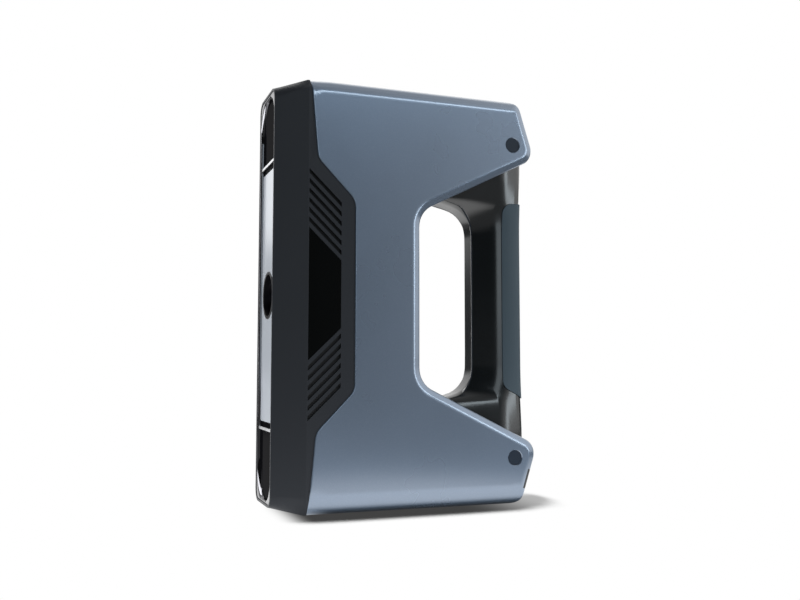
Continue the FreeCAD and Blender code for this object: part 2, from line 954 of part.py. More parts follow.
def fill_light(end):
    """A strip of light diodes beside each camera."""
    height = "light_drop" if end == "lower" else up("light_drop")
    body = new_body("fill_light_" + end)
    sketch = add_sketch(body, "XZ", "light_reach")
    outline(sketch, box_corners("-light_half_wide", "light_half_wide",
                                f"{height} - light_half_high", f"{height} + light_half_high"))
    pad(body, sketch, "board_thick")
    lamps = add_sketch(body, "XZ", "light_reach + board_thick")
    for step in (-1.5, -0.5, 0.5, 1.5):
        place = f"light_pitch * {step}"
        outline(lamps, box_corners(f"{place} - lamp_half", f"{place} + lamp_half",
                                   f"{height} - lamp_half", f"{height} + lamp_half"))
    pad(body, lamps, "lamp_high")
    return keep("fill_light_" + end, body)


# Side plates and dust screens

def side_plates():
    for side, name in ((1, "right"), (-1, "left")):
        body = new_body("side_plate_" + name)
        sketch = add_sketch(body, "YZ", f"{side} * (half_width - plate_recess)")
        outline(sketch, plate_corners("fit_gap"))
        pad(body, sketch, "plate_recess - 0.1", reverse=side < 0)
        keep("side_plate_" + name, body)

        screen = new_body("dust_screen_" + name)
        sketch = add_sketch(screen, "YZ", f"{side} * (half_width - wall)")
        edge = "vent_drop - screen_margin"
        rear = "vent_rear_reach - screen_margin"
        outline(sketch, both_ends([
            ("-vent_front_reach - 0.5", edge),
            (f"-({screen_reach(edge)})", edge),
            (f"-({rear})", screen_drop(rear)),
        ]))
        pad(screen, sketch, "screen_thick", reverse=side > 0)
        keep("dust_screen_" + name, screen)


# Handle, soft grip and the spine that carries them

FLARE = (
    # height, front reach, front half width, greatest half width, back half width
    (36.0, 7.0, 14.0, 24.6, 20.4),
    (70.0, 16.0, 13.8, 24.4, 20.3),
    (78.0, 29.5, 12.8, 23.9, 20.2),
    (81.5, 43.5, 11.0, 23.0, 20.1),
    (86.0, 51.8, 9.0, 22.0, 19.9),
    (93.0, 57.2, 7.4, 21.1, 19.8),
    (102.0, 59.3, 6.8, 20.6, 19.7),
)


def handle_section(drop_mark, grow):
    """One level cross section of the handle, grown outwards by a little."""
    height, front, front_half, half, back_half = drop_mark
    sketch = free_sketch("handle_section", "XY", height)
    crease_in = 0.9
    back_in = 3.2
    right = [
        (f"{front_half} + {grow} * 0.6", f"{front} - ({grow})"),
        (f"{half} - {crease_in} + {grow}", "handle_side - crease_run"),
        (f"{half} + {grow}", "handle_side"),
        (f"{back_half} + {grow}", f"handle_back - {back_in} * 1.6 + {grow}"),
        (f"{back_half} - {back_in} + {grow}", f"handle_back + {grow}"),
    ]
    left = [(f"-({c[0]})",) + c[1:] for c in reversed(right)]
    outline(sketch, right + left)
    return sketch


def handle_form(label, grow):
    """The flared column of the handle, the same shape above and below its middle."""
    lower = [(str(mark[0]),) + mark[1:] for mark in FLARE]
    upper = [(up(str(mark[0])),) + mark[1:] for mark in reversed(FLARE)]
    solid = doc.addObject("Part::Loft", label)
    solid.Sections = [handle_section(mark, grow) for mark in lower + upper]
    solid.Solid = True
    solid.Ruled = True
    doc.recompute()
    return solid


def handle():
    between = free_sketch("between_arms", "YZ", "-half_width")
    outline(between, [("opening_front", up("opening_drop")), ("tip_reach", up("tip_drop")),
                      ("tip_reach", "tip_drop"), ("opening_front", "opening_drop")])
    slab = extrude("between_arms_slab", between, Vector(1, 0, 0), "2 * half_width")
    form = common("handle_column", handle_form("handle_outside", "0"), slab)
    inner = handle_form("handle_under_grip", "-grip_thick")

    grip_region = extrude("grip_region", grip_outline("grip_area", "0"), Vector(1, 0, 0),
                          "2 * half_width")
    socket = cut("grip_socket", grip_region, inner)
    shell = cut("handle_with_seat", form, socket)
    bore = block("spine_bore", (("-lug_half - 0.2", "lug_half + 0.2"),
                                ("spine_front - 0.2", "spine_rear + 0.2"),
                                ("spine_bore_drop", up("spine_bore_drop"))))
    keep("handle_shell", cut("handle_shell", shell, bore))

    proud = handle_form("grip_outside", "grip_proud")
    pad_region = extrude("pad_region", grip_outline("pad_area", "fit_gap"), Vector(1, 0, 0),
                         "2 * half_width")
    pad_block = common("grip_block", proud, pad_region)
    keep("grip_pad", cut("grip_pad", pad_block, inner))
    spine()


def grip_outline(label, gap):
    """Where the soft grip covers the back of the handle, seen from the side."""
    sketch = free_sketch(label, "YZ", "-half_width")
    outline(sketch, [
        (f"grip_seam + {gap}", f"{up('grip_drop')} - {gap}", "grip_round"),
        ("handle_back + 4", f"{up('grip_drop')} + 1.5 - {gap}"),
        ("handle_back + 4", f"grip_drop - grip_round / 2 + {gap}"),
        (f"grip_seam + {gap}", f"grip_drop + grip_round + {gap}", "grip_round"),
    ])
    return sketch


def spine():
    """A flat bar through the handle, with a lug at each end between the covers' bosses."""
    body = new_body("handle_spine")
    sketch = add_sketch(body, "YZ")
    outline(sketch, both_ends([
        ("spine_front", "plug_drop - lug_end"),
        ("plug_reach + lug_rear", "plug_drop - lug_end"),
        ("plug_reach + lug_rear", "plug_drop + lug_fall"),
        ("spine_rear", "plug_drop + 2 * lug_fall"),
    ]))
    pad(body, sketch, "2 * lug_half", both=True)
    holes = add_sketch(body, "YZ")
    for height in ("plug_drop", up("plug_drop")):
        circle(holes, "plug_reach", height, "screw_radius + 0.3")
    pocket(body, holes, both=True)
    return keep("handle_spine", body)


# Buttons on the upper rear end

KEY_ROW = "button_row / cos(rear_tilt)"


def strip_corners(gap):
    """The thin light strip above the keys, grown by a gap."""
    return box_corners(f"-strip_half - {gap}", f"strip_half + {gap}",
                       f"-strip_start - strip_wide - {gap}", f"-strip_start + {gap}")


def button_panel():
    body = new_body("button_panel")
    sketch = add_sketch(body, "XY", "-panel_thick")
    outline(sketch, box_corners("-panel_half_width", "panel_half_width", "-panel_half_length",
                                "panel_half_length"))
    pad(body, sketch, "panel_thick + panel_proud")
    behind = "panel_thick + panel_flange"
    flange = add_sketch(body, "XY", f"-({behind})")
    side = "panel_half_width + panel_flange_side"
    outline(flange, box_corners(f"-({side})", side, "-panel_half_length + 0.3",
                                "panel_half_length + 1"))
    pad(body, flange, "panel_flange")
    holes = add_sketch(body, "XY", "panel_thick")
    circle(holes, "0", KEY_ROW, "scan_radius + fit_gap")
    for side in ("-", ""):
        circle(holes, f"{side}side_button_place", KEY_ROW, "side_button_radius + fit_gap")
    outline(holes, strip_corners("0.1"))
    pocket(body, holes)
    posts = add_sketch(body, "XY", f"-({behind}) - post_long")
    for across in ("-post_across", "post_across"):
        for along in ("-post_along", "post_along"):
            outline(posts, box_corners(f"{across} - post_half", f"{across} + post_half",
                                       f"{along} - post_half", f"{along} + post_half"))
    pad(body, posts, "post_long + 0.05")
    on_button_panel(body)
    return keep("button_panel", body)


def button(label, radius, across):
    """A round cap with a square collar that keeps it behind the panel."""
    body = new_body(label)
    collar = add_sketch(body, "XY", "-cap_start - collar_thick")
    half = f"{radius} + collar_wide"
    outline(collar, box_corners(f"-({half})", half, f"-({half})", half))
    pad(body, collar, "collar_thick")
    cap = add_sketch(body, "XY", "-cap_start")
    circle(cap, "0", "0", radius)
    pad(body, cap, "cap_long")
    seat(body, across, rear_reach("panel_drop + button_row"), up("panel_drop + button_row"),
         "rear_tilt - 90")
    return keep(label, body)


def buttons():
    button_panel()
    button("scan_button", "scan_radius", "0")
    button("plus_button", "side_button_radius", "side_button_place")
    button("minus_button", "side_button_radius", "-side_button_place")
    light = new_body("status_light")
    sketch = add_sketch(light, "XY", "-strip_deep")
    outline(sketch, strip_corners("0"))
    pad(light, sketch, "strip_long")
    on_button_panel(light)
    keep("status_light", light)
    board = new_body("button_board")
    sketch = add_sketch(board, "XY", "-key_board_deep")
    outline(sketch, box_corners("-key_board_half_wide", "key_board_half_wide",
                                "-key_board_half_high", "key_board_half_high"))
    pad(board, sketch, "board_thick")
    domes = add_sketch(board, "XY", "-key_board_deep + board_thick")
    for across in ("-side_button_place", "0", "side_button_place"):
        outline(domes, box_corners(f"{across} - dome_half", f"{across} + dome_half",
                                   f"{KEY_ROW} - dome_half", f"{KEY_ROW} + dome_half"))
    pad(board, domes, "dome_high")
    on_button_panel(board)
    keep("button_board", board)


# Socket on the lower rear end

def socket_parts():
    cap = new_body("socket_panel")
    sketch = add_sketch(cap, "XY", "-socket_panel_thick")
    outline(sketch, box_corners("-socket_half_width", "socket_half_width", "-socket_half_length",
                                "socket_half_length"))
    pad(cap, sketch, "socket_panel_thick")
    flange = add_sketch(cap, "XY", "-socket_panel_thick - socket_flange_thick")
    along = "socket_half_length + socket_flange_reach"
    outline(flange, box_corners("-socket_flange_half", "socket_flange_half", f"-({along})", along))
    pad(cap, flange, "socket_flange_thick + 0.6")
    hole = add_sketch(cap, "XY", "1")
    circle(hole, "0", "0", "socket_radius + 0.05")
    pocket(cap, hole)
    on_socket_panel(cap)
    keep("socket_panel", cap)
    turned("cable_socket", [
        ("socket_bore", "-socket_deep"), ("socket_radius", "-socket_deep"),
        ("socket_radius", "socket_proud"), ("socket_bore", "socket_proud"),
    ], on_socket_panel)
    insert = new_body("socket_insert")
    sketch = add_sketch(insert, "XY", "-socket_deep - insert_thick")
    circle(sketch, "0", "0", "socket_radius")
    pad(insert, sketch, "insert_thick - 0.05")
    pins = add_sketch(insert, "XY", "-socket_deep")
    outline(pins, box_corners("-pin_wide / 2", "pin_wide / 2", "pin_reach",
                              "pin_reach + pin_wide"))
    pin = pocket(insert, pins, "pin_deep")
    ring_of(insert, pin, (pins, ["N_Axis"]), "pin_count")
    on_socket_panel(insert)
    keep("socket_insert", insert)
    nut = new_body("socket_nut")
    sketch = add_sketch(nut, "XY", "-nut_start")
    outline(sketch, hexagon_corners("0", "0", "nut_radius"))
    circle(sketch, "0", "0", "socket_radius + 0.02")
    pad(nut, sketch, "nut_thick")
    on_socket_panel(nut)
    keep("socket_nut", nut)


# Plugs and screws

def plugs_and_screws():
    for side, name in ((1, "right"), (-1, "left")):
        for end, height in (("upper", up("plug_drop")), ("lower", "plug_drop")):
            body = new_body(f"screw_plug_{end}_{name}")
            sketch = add_sketch(body, "YZ", f"{side} * (half_width - plug_set_back)")
            circle(sketch, "plug_reach", height, "plug_radius - 0.1")
            pad(body, sketch, "plug_thick", reverse=side > 0)
            keep(f"screw_plug_{end}_{name}", body)
    screws = new_body("cover_screws")
    head_start = "half_width - seat_deep"
    heads = add_sketch(screws, "YZ", head_start)
    shank_start = "-half_width + side_wall + 0.1"
    shanks = add_sketch(screws, "YZ", shank_start)
    for height in (up("plug_drop"), "plug_drop"):
        outline(heads, hexagon_corners("plug_reach", height, "screw_head_radius"))
        circle(shanks, "plug_reach", height, "screw_radius")
    pad(screws, heads, "screw_head_high")
    pad(screws, shanks, f"{head_start} - ({shank_start})")
    keep("cover_screws", screws)
    nuts = new_body("cover_nuts")
    sketch = add_sketch(nuts, "YZ", "-half_width + seat_deep")
    for height in (up("plug_drop"), "plug_drop"):
        outline(sketch, hexagon_corners("plug_reach", height, "cover_nut_radius"))
        circle(sketch, "plug_reach", height, "screw_radius + 0.02")
    pad(nuts, sketch, "cover_nut_thick", reverse=True)
    keep("cover_nuts", nuts)


# Boards and fan inside

CHIPS = (
    # from the board's front edge and from its lower edge: front, rear, low, high
    (6, 22, 8, 24),
    (24, 34, 8, 20),
    (4, 28, 86, 96),
)


def main_board():
    body = new_body("main_board")
    sketch = add_sketch(body, "YZ", "-main_board_side - board_thick")
    outline(sketch, box_corners("-main_board_front", "main_board_rear", "main_board_low",
                                "main_board_high"))
    pad(body, sketch, "board_thick")
    chips = add_sketch(body, "YZ", "-main_board_side")
    for front, rear, low, high in CHIPS:
        outline(chips, box_corners(f"-main_board_front + {front}", f"-main_board_front + {rear}",
                                   f"main_board_low + {low}", f"main_board_low + {high}"))
    pad(body, chips, "chip_high")
    keep("main_board", body)
    cooler = new_body("processor_cooler")
    sketch = add_sketch(cooler, "YZ", "-main_board_side")
    outline(sketch, box_corners("-main_board_front + 12", "-main_board_front + 34",
                                "main_board_low + 26", "main_board_low + 48"))
    pad(cooler, sketch, "cooler_high")
    return keep("processor_cooler", cooler)


def board_spacers():
    """Four square posts that hold the main board off the left cover."""
    body = new_body("board_spacers")
    sketch = add_sketch(body, "YZ", "-half_width + side_wall + 0.02")
    for along in ("-main_board_front + spacer_inset", "main_board_rear - spacer_inset"):
        for height in ("main_board_low + spacer_rise", "main_board_high - spacer_rise"):
            outline(sketch, box_corners(f"{along} - spacer_half", f"{along} + spacer_half",
                                        f"{height} - spacer_half", f"{height} + spacer_half"))
    pad(body, sketch, "half_width - side_wall - main_board_side - board_thick - 0.04")
    return keep("board_spacers", body)


def fan_frame():
    low = "fan_side - fan_deep"
    frame = new_body("fan_frame")
    sketch = add_sketch(frame, "YZ", low)
    outline(sketch, box_corners("-fan_reach - fan_half", "-fan_reach + fan_half",
                                "fan_height - fan_half", "fan_height + fan_half"))
    outline(sketch, ring_corners("-fan_reach", "fan_height", "blade_reach + 1", 20))
    pad(frame, sketch, "fan_deep")
    half = "fan_strut_half"
    reach = "(blade_reach + 1)"
    for along, up_and_down in ((reach, half), (half, reach)):
        strut = add_sketch(frame, "YZ", low)
        outline(strut, box_corners(f"-fan_reach - {along}", f"-fan_reach + {along}",
                                   f"fan_height - {up_and_down}", f"fan_height + {up_and_down}"))
        pad(frame, strut, "fan_strut_thick")
    motor = add_sketch(frame, "YZ", low)
    outline(motor, hexagon_corners("-fan_reach", "fan_height", "fan_motor_radius"))
    pad(frame, motor, "fan_motor_thick")
    pin = add_sketch(frame, "YZ", low)
    circle(pin, "-fan_reach", "fan_height", "fan_pin_radius")
    pad(frame, pin, "fan_deep - 3")
    return keep("fan_frame", frame)


def fan_rotor():
    body = new_body("fan_rotor")
    hub = add_sketch(body, "XY")
    outline(hub, ring_corners("0", "0", "hub_radius", 14))
    circle(hub, "0", "0", "fan_pin_radius + running_gap")
    pad(body, hub, "hub_long")
    inside = "hub_radius - 0.8"
    root = add_sketch(body, "XY", "blade_margin")
    outline(root, box_corners(inside, "blade_reach", "-blade_sweep", "-blade_sweep + blade_thick"))
    tip = add_sketch(body, "XY", "hub_long - blade_margin")
    outline(tip, box_corners(inside, "blade_reach", "blade_sweep - blade_thick", "blade_sweep"))
    blade = loft(body, "AdditiveLoft", root, tip)
    ring_of(body, blade, (root, ["N_Axis"]), "blade_count")
    body.Placement.Rotation = Rotation(Vector(0, 1, 0), 90)
    for axis, place in zip("xyz", ("fan_side - fan_deep + hub_start", "-fan_reach", "fan_height")):
        body.setExpression("Placement.Base." + axis, bound(place))
    return keep("fan_rotor", body)


# Build, check and write

front_housing()
side_covers()
front_bezel()
front_plates()
projector()
optics_bracket()
for end_name in ("upper", "lower"):
    camera(end_name)
    fill_light(end_name)
side_plates()
handle()
buttons()
socket_parts()
plugs_and_screws()
main_board()
board_spacers()
fan_frame()
fan_rotor()
doc.recompute()

for item in doc.Objects:
    if "Invalid" in item.State or "Error" in item.State:
        raise ValueError(f"{item.Label} failed: {item.State}")
os.makedirs("parts", exist_ok=True)
for name, node in nodes.items():
    if node.Shape.isNull() or not node.Shape.isValid():
        raise ValueError(f"{name} has no valid shape")
for name, node in nodes.items():
    node.Shape.exportStep(f"parts/{name}.step")
print(len(nodes), "nodes written")
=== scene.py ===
# Looks of the handheld three-d scanner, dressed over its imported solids.
# X is the width, the scanning windows look along -Y, and the scanner stands on z = 0.
import json
import math
import bmesh
import bpy
from mathutils import Matrix, Vector


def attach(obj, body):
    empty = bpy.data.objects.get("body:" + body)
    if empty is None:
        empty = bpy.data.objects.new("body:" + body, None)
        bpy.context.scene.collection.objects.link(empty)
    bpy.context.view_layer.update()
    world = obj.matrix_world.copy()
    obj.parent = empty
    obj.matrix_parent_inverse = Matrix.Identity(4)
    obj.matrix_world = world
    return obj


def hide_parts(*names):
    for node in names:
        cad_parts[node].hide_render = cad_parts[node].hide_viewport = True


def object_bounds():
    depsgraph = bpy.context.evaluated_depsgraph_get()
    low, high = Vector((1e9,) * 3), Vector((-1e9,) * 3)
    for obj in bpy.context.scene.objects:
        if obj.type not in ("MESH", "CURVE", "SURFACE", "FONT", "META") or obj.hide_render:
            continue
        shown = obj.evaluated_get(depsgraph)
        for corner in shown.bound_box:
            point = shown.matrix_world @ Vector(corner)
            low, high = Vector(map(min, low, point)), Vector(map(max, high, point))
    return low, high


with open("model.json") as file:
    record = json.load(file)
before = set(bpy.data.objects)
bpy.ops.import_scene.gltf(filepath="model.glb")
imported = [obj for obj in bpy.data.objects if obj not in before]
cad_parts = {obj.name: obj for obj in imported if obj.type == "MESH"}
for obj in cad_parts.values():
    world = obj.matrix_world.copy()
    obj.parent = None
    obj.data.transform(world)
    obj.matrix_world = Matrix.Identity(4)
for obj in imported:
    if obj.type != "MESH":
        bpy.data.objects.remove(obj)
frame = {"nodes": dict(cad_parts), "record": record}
solids = frame["nodes"]
cad_box = [list(corner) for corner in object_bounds()]

MM = 0.001
TOP = cad_box[1][2] / MM


# Shared effects, each a shader node group that puts out values only

def new_group(name, inputs, outputs):
    group = bpy.data.node_groups.new(name, "ShaderNodeTree")
    for label, kind, default in inputs:
        socket = group.interface.new_socket(label, in_out="INPUT", socket_type=kind)
        if default is not None:
            socket.default_value = default
    for label, kind in outputs:
        group.interface.new_socket(label, in_out="OUTPUT", socket_type=kind)
    entry = group.nodes.new("NodeGroupInput")
    leave = group.nodes.new("NodeGroupOutput")
    return group, entry, leave


def moulding_grain():
    """Fine irregular skin of moulded plastic and paint."""
    group, entry, leave = new_group(
        "moulding_grain",
        [("Vector", "NodeSocketVector", None), ("Scale", "NodeSocketFloat", 900.0)],
        [("Height", "NodeSocketFloat")])
    noise = group.nodes.new("ShaderNodeTexNoise")
    noise.inputs["Detail"].default_value = 3.0
    group.links.new(entry.outputs["Vector"], noise.inputs["Vector"])
    group.links.new(entry.outputs["Scale"], noise.inputs["Scale"])
    group.links.new(noise.outputs["Fac"], leave.inputs["Height"])
    return group


def handling():
    """Broad soft patches where hands and cloths have changed the gloss a little."""
    group, entry, leave = new_group(
        "handling",
        [("Vector", "NodeSocketVector", None), ("Scale", "NodeSocketFloat", 14.0),
         ("Low", "NodeSocketFloat", 0.3), ("High", "NodeSocketFloat", 0.4)],
        [("Roughness", "NodeSocketFloat")])
    noise = group.nodes.new("ShaderNodeTexNoise")
    noise.inputs["Detail"].default_value = 4.0
    noise.inputs["Roughness"].default_value = 0.6
    spread = group.nodes.new("ShaderNodeMapRange")
    spread.inputs["From Min"].default_value = 0.35
    spread.inputs["From Max"].default_value = 0.65
    group.links.new(entry.outputs["Vector"], noise.inputs["Vector"])
    group.links.new(entry.outputs["Scale"], noise.inputs["Scale"])
    group.links.new(noise.outputs["Fac"], spread.inputs["Value"])
    group.links.new(entry.outputs["Low"], spread.inputs["To Min"])
    group.links.new(entry.outputs["High"], spread.inputs["To Max"])
    group.links.new(spread.outputs["Result"], leave.inputs["Roughness"])
    return group


def metallic_fleck():
    """Tiny bright flakes lying in a paint."""
    group, entry, leave = new_group(
        "metallic_fleck",
        [("Vector", "NodeSocketVector", None), ("Scale", "NodeSocketFloat", 2500.0),
         ("Base", "NodeSocketColor", (0.1, 0.1, 0.1, 1.0)),
         ("Flake", "NodeSocketColor", (0.3, 0.3, 0.3, 1.0))],
        [("Color", "NodeSocketColor")])
    cells = group.nodes.new("ShaderNodeTexVoronoi")
    share = group.nodes.new("ShaderNodeMapRange")
    share.inputs["From Min"].default_value = 0.55
    share.inputs["From Max"].default_value = 1.0
    share.inputs["To Max"].default_value = 0.5
    mix = group.nodes.new("ShaderNodeMix")
    mix.data_type = "RGBA"
    separate = group.nodes.new("ShaderNodeSeparateColor")
    group.links.new(entry.outputs["Vector"], cells.inputs["Vector"])
    group.links.new(entry.outputs["Scale"], cells.inputs["Scale"])
    group.links.new(cells.outputs["Color"], separate.inputs["Color"])
    group.links.new(separate.outputs["Red"], share.inputs["Value"])
    group.links.new(share.outputs["Result"], mix.inputs["Factor"])
    group.links.new(entry.outputs["Base"], mix.inputs["A"])
    group.links.new(entry.outputs["Flake"], mix.inputs["B"])
    group.links.new(mix.outputs["Result"], leave.inputs["Color"])
    return group


GRAIN = moulding_grain()
HANDLING = handling()
FLECK = metallic_fleck()


# Materials

class Finish:
    """A material with its Principled BSDF and Object coordinates, ready for effects."""

    def __init__(self, name, color, roughness, metallic=0.0, coat=0.0, coat_roughness=0.03,
                 specular=0.5):
        self.material = bpy.data.materials.new(name)
        self.material.use_nodes = True
        self.material.diffuse_color = (*color, 1.0)
        self.tree = self.material.node_tree
        self.shader = self.tree.nodes["Principled BSDF"]
        self.shader.inputs["Base Color"].default_value = (*color, 1.0)
        self.shader.inputs["Roughness"].default_value = roughness
        self.shader.inputs["Metallic"].default_value = metallic
        self.shader.inputs["Specular IOR Level"].default_value = specular
        self.shader.inputs["Coat Weight"].default_value = coat
        self.shader.inputs["Coat Roughness"].default_value = coat_roughness
        self.place = self.tree.nodes.new("ShaderNodeTexCoord")

    def add(self, kind, **values):
        node = self.tree.nodes.new(kind)
        for name, value in values.items():
            node.inputs[name].default_value = value
        return node

    def group(self, tree, **values):
        node = self.tree.nodes.new("ShaderNodeGroup")
        node.node_tree = tree
        for name, value in values.items():
            node.inputs[name].default_value = value
        self.tree.links.new(self.place.outputs["Object"], node.inputs["Vector"])
        return node

    def link(self, source, target):
        self.tree.links.new(source, target)

    def grain(self, scale, depth, strength=1.0):
        skin = self.group(GRAIN, Scale=scale)
        bump = self.add("ShaderNodeBump", Strength=strength, Distance=depth)
        self.link(skin.outputs["Height"], bump.inputs["Height"])
        self.link(bump.outputs["Normal"], self.shader.inputs["Normal"])
        return self

    def handled(self, low, high, scale=14.0):
        patches = self.group(HANDLING, Scale=scale, Low=low, High=high)
        self.link(patches.outputs["Roughness"], self.shader.inputs["Roughness"])
        return self


def painted_cover():
    """Blue grey metallic paint under a clear coat."""
    finish = Finish("cover_paint", (0.15, 0.19, 0.25), 0.4, metallic=0.6, coat=1.0,
                    coat_roughness=0.14)
    finish.shader.inputs["Coat IOR"].default_value = 1.9
    fleck = finish.group(FLECK, Scale=2200.0, Base=(0.168, 0.231, 0.325, 1.0),
                         Flake=(0.212, 0.276, 0.372, 1.0))
    finish.link(fleck.outputs["Color"], finish.shader.inputs["Base Color"])
    return finish.handled(0.26, 0.31, 9.0).grain(700.0, 0.00003, 0.4).material


def moulded(name, color, low, high, scale=600.0, depth=0.00006, specular=0.5):
    finish = Finish(name, color, low, specular=specular)
    return finish.handled(low, high).grain(scale, depth, 0.6).material


def polished(name, color, low, high, coat=0.0, specular=0.5):
    return Finish(name, color, low, coat=coat, specular=specular).handled(low, high, 20.0).material


def dark_chrome():
    return Finish("bezel_black", (0.13, 0.13, 0.14), 0.1, metallic=1.0).handled(0.08, 0.13).material


def bare_metal(name, color, low, high):
    """Metal with a fine straight grain along Z."""
    finish = Finish(name, color, low, metallic=1.0).handled(low, high, 30.0)
    stretch = finish.add("ShaderNodeMapping", Scale=(1.0, 1.0, 0.02))
    noise = finish.add("ShaderNodeTexNoise", Scale=4000.0, Detail=2.0)
    bump = finish.add("ShaderNodeBump", Strength=0.3, Distance=0.00003)
    finish.link(finish.place.outputs["Object"], stretch.inputs["Vector"])
    finish.link(stretch.outputs["Vector"], noise.inputs["Vector"])
    finish.link(noise.outputs["Fac"], bump.inputs["Height"])
    finish.link(bump.outputs["Normal"], finish.shader.inputs["Normal"])
    return finish.material


def circuit_board():
    """Green solder mask with faint rows of tracks."""
    finish = Finish("circuit_board", (0.01, 0.09, 0.05), 0.35)
    tracks = finish.add("ShaderNodeTexBrick", Scale=160.0, Color1=(0.008, 0.085, 0.045, 1.0),
                        Color2=(0.012, 0.11, 0.06, 1.0), Mortar=(0.03, 0.20, 0.10, 1.0))
    tracks.inputs["Mortar Size"].default_value = 0.03
    finish.link(finish.place.outputs["Object"], tracks.inputs["Vector"])
    finish.link(tracks.outputs["Color"], finish.shader.inputs["Base Color"])
    return finish.material


def dust_mesh():
    """Fine black mesh behind the vents."""
    finish = Finish("dust_mesh", (0.006, 0.006, 0.007), 0.7)
    checks = finish.add("ShaderNodeTexChecker", Scale=1400.0)
    bump = finish.add("ShaderNodeBump", Strength=0.8, Distance=0.0002)
    finish.link(finish.place.outputs["Object"], checks.inputs["Vector"])
    finish.link(checks.outputs["Fac"], bump.inputs["Height"])
    finish.link(bump.outputs["Normal"], finish.shader.inputs["Normal"])
    return finish.material


def coated_window():
    """Dark filter glass whose coating lets it mirror only faintly."""
    finish = Finish("window_dark", (0.004, 0.004, 0.005), 0.12, coat=0.04, coat_roughness=0.05,
                    specular=0.0)
    return finish.material


def coated_glass():
    """Dark lens glass with a violet coating."""
    finish = Finish("lens_glass", (0.010, 0.008, 0.022), 0.03, coat=1.0)
    finish.shader.inputs["Coat Tint"].default_value = (0.75, 0.70, 1.0, 1.0)
    return finish.handled(0.02, 0.05, 25.0).material


FINISHES = {
    "housing_black": moulded("housing_black", (0.033, 0.036, 0.042), 0.36, 0.42, specular=0.12),
    "cover_grey": painted_cover(),
    "bezel_black": dark_chrome(),
    "window_dark": coated_window(),
    "bar_silver": bare_metal("bar_silver", (0.78, 0.79, 0.81), 0.22, 0.32),
    "fascia_white": polished("fascia_white", (0.62, 0.67, 0.74), 0.18, 0.26, 0.3),
    "lens_black": moulded("lens_black", (0.008, 0.008, 0.010), 0.22, 0.32, 900.0, 0.00003),
    "lens_glass": coated_glass(),
    "housing_inner": moulded("housing_inner", (0.030, 0.030, 0.033), 0.50, 0.60),
    "metal_bare": bare_metal("metal_bare", (0.60, 0.61, 0.63), 0.32, 0.42),
    "circuit_board": circuit_board(),
    "plate_black": polished("plate_black", (0.0025, 0.003, 0.003), 0.08, 0.14, specular=0.12),
    "dust_mesh": dust_mesh(),
    "handle_black": moulded("handle_black", (0.004, 0.0065, 0.008), 0.17, 0.22, 500.0, 0.00002, 1.0),
    "grip_rubber": moulded("grip_rubber", (0.058, 0.086, 0.108), 0.50, 0.60, 1500.0, 0.00008, 0.35),
    "panel_black": moulded("panel_black", (0.012, 0.013, 0.016), 0.26, 0.34),
    "button_grey": moulded("button_grey", (0.16, 0.18, 0.21), 0.36, 0.44, 900.0),
    "light_clear": polished("light_clear", (0.70, 0.76, 0.84), 0.25, 0.35),
    "socket_metal": bare_metal("socket_metal", (0.55, 0.56, 0.58), 0.24, 0.34),
    "steel": bare_metal("steel", (0.45, 0.46, 0.48), 0.3, 0.4),
    "plug_rubber": moulded("plug_rubber", (0.009, 0.019, 0.036), 0.44, 0.54, 1200.0, specular=0.3),
}
SLOT_OF = {entry["node"]: entry["material_slot"] for entry in frame["record"]["subparts"]}


# Meshes

def linked(name, mesh):
    piece = bpy.data.objects.new(name, mesh)
    bpy.context.scene.collection.objects.link(piece)
    return piece


def merged_copy(node):
    """A copy of a solid's mesh with its loose triangles joined and its flat faces made whole."""
    work = bmesh.new()
    work.from_mesh(solids[node].data)
    bmesh.ops.remove_doubles(work, verts=work.verts, dist=0.004 * MM)
    bmesh.ops.dissolve_limit(work, angle_limit=math.radians(0.4), verts=work.verts, edges=work.edges)
    mesh = bpy.data.meshes.new(node + "_skin")
    work.to_mesh(mesh)
    work.free()
    return mesh


def body_of_node(node):
    bodies = frame["record"]["behaviour"]["bodies"]
    return next(body for body, members in bodies.items() if node in members)


def finish_piece(piece, node, edge, sharp, segments=3):
    """Gives a piece its finish and rounded edges, and lets it stand for a solid."""
    mesh = piece.data
    mesh.materials.clear()
    mesh.materials.append(FINISHES[SLOT_OF[node]])
    mesh.polygons.foreach_set("material_index", [0] * len(mesh.polygons))
    mesh.shade_smooth()
    mesh.set_sharp_from_angle(angle=math.radians(sharp))
    if edge > 0.0:
        round_edges(piece, edge, segments, sharp)
    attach(piece, body_of_node(node))
    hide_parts(node)
    solids[node].hide_render = True


def round_edges(piece, edge, segments, sharp):
    bevel = piece.modifiers.new("rounded_edges", "BEVEL")
    bevel.width = edge * MM
    bevel.segments = segments
    bevel.limit_method = "ANGLE"
    bevel.angle_limit = math.radians(sharp)
    bevel.harden_normals = True
    bevel.use_clamp_overlap = True


def keep_flats_even(piece):
    """Shades broad flat faces evenly where small round ones meet them."""
    normals = piece.modifiers.new("even_normals", "WEIGHTED_NORMAL")
    normals.keep_sharp = True
    normals.weight = 50


def skinned(name, stacks, closed=False):
    """A mesh from rings of places, each ring joined to the next and the ends capped or joined."""
    work = bmesh.new()
    rings = [[work.verts.new(Vector(p) * MM) for p in ring] for ring in stacks]
    for low, high in zip(rings, rings[1:] + (rings[:1] if closed else [])):
        for i, vert in enumerate(low):
            after = (i + 1) % len(low)
            work.faces.new((vert, low[after], high[after], high[i]))
    if not closed:
        work.faces.new(list(reversed(rings[0])))
        work.faces.new(rings[-1])
    bmesh.ops.recalc_face_normals(work, faces=work.faces)
    mesh = bpy.data.meshes.new(name)
    work.to_mesh(mesh)
    work.free()
    return linked(name, mesh)


def side_prism(name, outline, half_width):
    """A solid through the whole width whose side view is the outline of (y, z) points."""
    return skinned(name, [[(across, *p) for p in outline] for across in (half_width, -half_width)])


